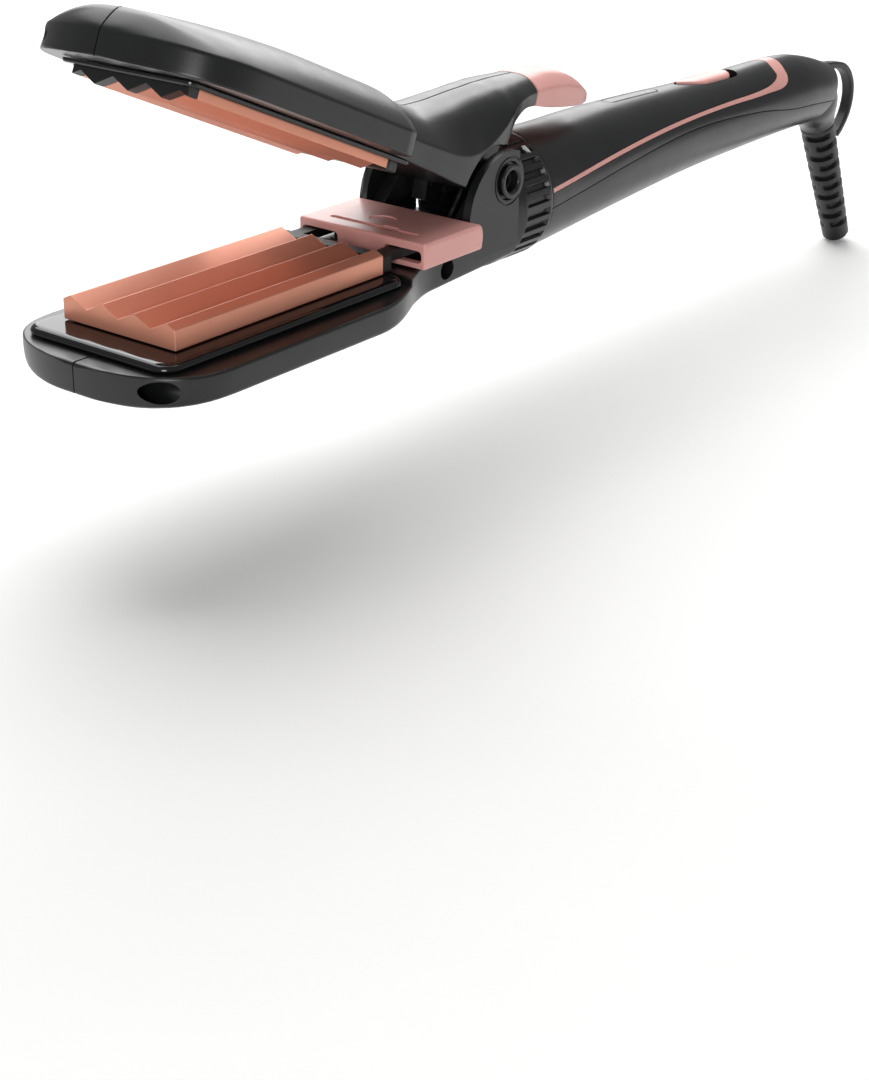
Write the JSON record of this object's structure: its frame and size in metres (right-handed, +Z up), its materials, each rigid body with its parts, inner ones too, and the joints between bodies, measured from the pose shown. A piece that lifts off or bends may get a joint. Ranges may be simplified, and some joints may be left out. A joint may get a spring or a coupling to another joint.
{
  "type": "hair crimper",
  "caption": "Hand-held hair crimper and straightener with a hinged upper jaw, thumb lever, swing-over ridged plate, lock ring and tapered handle.",
  "frame": {"origin": "on the flat land of the belly, under the middle of the heated plates and on the seam's plane", "axes": "+X along the tool from the nose to the handle, +Y across it to the far side, +Z up from the belly that the tool rests on"},
  "size_m": [0.3754, 0.0598, 0.1314],
  "materials": {
    "satin_black": "satin moulded ABS",
    "gloss_black": "polished moulded plastic",
    "rose_plastic": "satin rose moulded plastic",
    "copper_coat": "smooth copper-coloured ceramic coating on aluminium",
    "steel": "plain bright steel",
    "black_steel": "blackened steel",
    "brass": "turned brass",
    "ceramic": "ceramic heating element, plastic stands in",
    "board_green": "coated circuit board",
    "clear_window": "clear grey window",
    "led_white": "diffusing light",
    "black_rubber": "matt moulded rubber",
    "lead_sleeve": "fibre and silicone sleeve"
  },
  "bodies": {
    "main_body": {"circuit_board": "board_green", "click_leaf": "steel", "closing_spring": "steel", "guide_post": "black_steel", "handle_lower_shell": "satin_black", "handle_screw_front": "black_steel", "handle_screw_rear": "black_steel", "handle_upper_shell": "satin_black", "heat_led": "led_white", "heater_lead": "lead_sleeve", "hinge_bush_far": "satin_black", "hinge_bush_near": "satin_black", "hinge_pin": "black_steel", "indicator_window": "clear_window", "latch_post": "black_steel", "lower_casing_far": "satin_black", "lower_casing_near": "satin_black", "lower_flat_plate": "copper_coat", "lower_heater": "ceramic", "lower_heater_leaf": "steel", "lower_rim_frame": "gloss_black", "neck_screw": "black_steel", "neck_spigot": "satin_black", "nose_screw": "black_steel", "spigot_screw_far": "steel", "spigot_screw_near": "steel", "status_led": "led_white", "stripe_inlay": "rose_plastic", "switch_body": "satin_black", "swivel_socket": "satin_black"},
    "upper_jaw": {"lever_tip": "rose_plastic", "upper_arm_screw": "black_steel", "upper_casing_far": "satin_black", "upper_casing_near": "satin_black", "upper_crimp_plate": "copper_coat", "upper_front_comb": "satin_black", "upper_heater": "ceramic", "upper_heater_leaf": "steel", "upper_nose_screw": "black_steel", "upper_rear_block": "satin_black", "upper_rim_frame": "gloss_black"},
    "crimp_insert": {"insert_carrier": "black_steel", "insert_plate": "copper_coat", "insert_screw_far": "steel", "insert_screw_near": "steel"},
    "latch_slider": {"latch_bar": "rose_plastic"},
    "ring": {"lock_ring": "satin_black"},
    "bolt": {"lock_bolt": "black_steel"},
    "switch_slider": {"power_switch": "rose_plastic"},
    "cord_swivel": {"hanging_loop": "black_rubber", "slip_ring_line": "brass", "slip_ring_neutral": "brass", "strain_relief_boot": "black_rubber", "swivel_elbow": "satin_black"}
  },
  "joints": [
    {"name": "jaw_hinge", "type": "hinge", "parent": "main_body", "child": "upper_jaw", "pos_m": [0.0884, 0, 0.0266], "axis": [0, 1, 0], "range_deg": [-23.35, 2.5], "stiffness_Nm_per_rad": 0.6},
    {"name": "insert_swing", "type": "hinge", "parent": "main_body", "child": "crimp_insert", "pos_m": [0.0884, 0, 0.0266], "axis": [0, 1, 0], "range_deg": [0, 23.35]},
    {"name": "latch_slide", "type": "slide", "parent": "crimp_insert", "child": "latch_slider", "axis": [0, 1, 0], "range_m": [0, 0.004]},
    {"name": "lock_ring_turn", "type": "hinge", "parent": "main_body", "child": "ring", "pos_m": [0.0935, 0, 0.0158], "axis": [1, 0, 0], "range_deg": [0, 40]},
    {"name": "lock_bolt_slide", "type": "slide", "parent": "main_body", "child": "bolt", "axis": [-1, 0, 0], "range_m": [0, 0.003]},
    {"name": "switch_slide", "type": "slide", "parent": "main_body", "child": "switch_slider", "axis": [1, 0, 0], "range_m": [0, 0.004]},
    {"name": "cord_swivel_turn", "type": "hinge", "parent": "main_body", "child": "cord_swivel", "pos_m": [0.2885, 0, 0.0124], "axis": [0.766, 0, -0.6428], "continuous": true}
  ],
  "couplings": [
    {"joint": "lock_bolt_slide", "follows": "lock_ring_turn", "m_per_rad": 0.0042972}
  ]
}
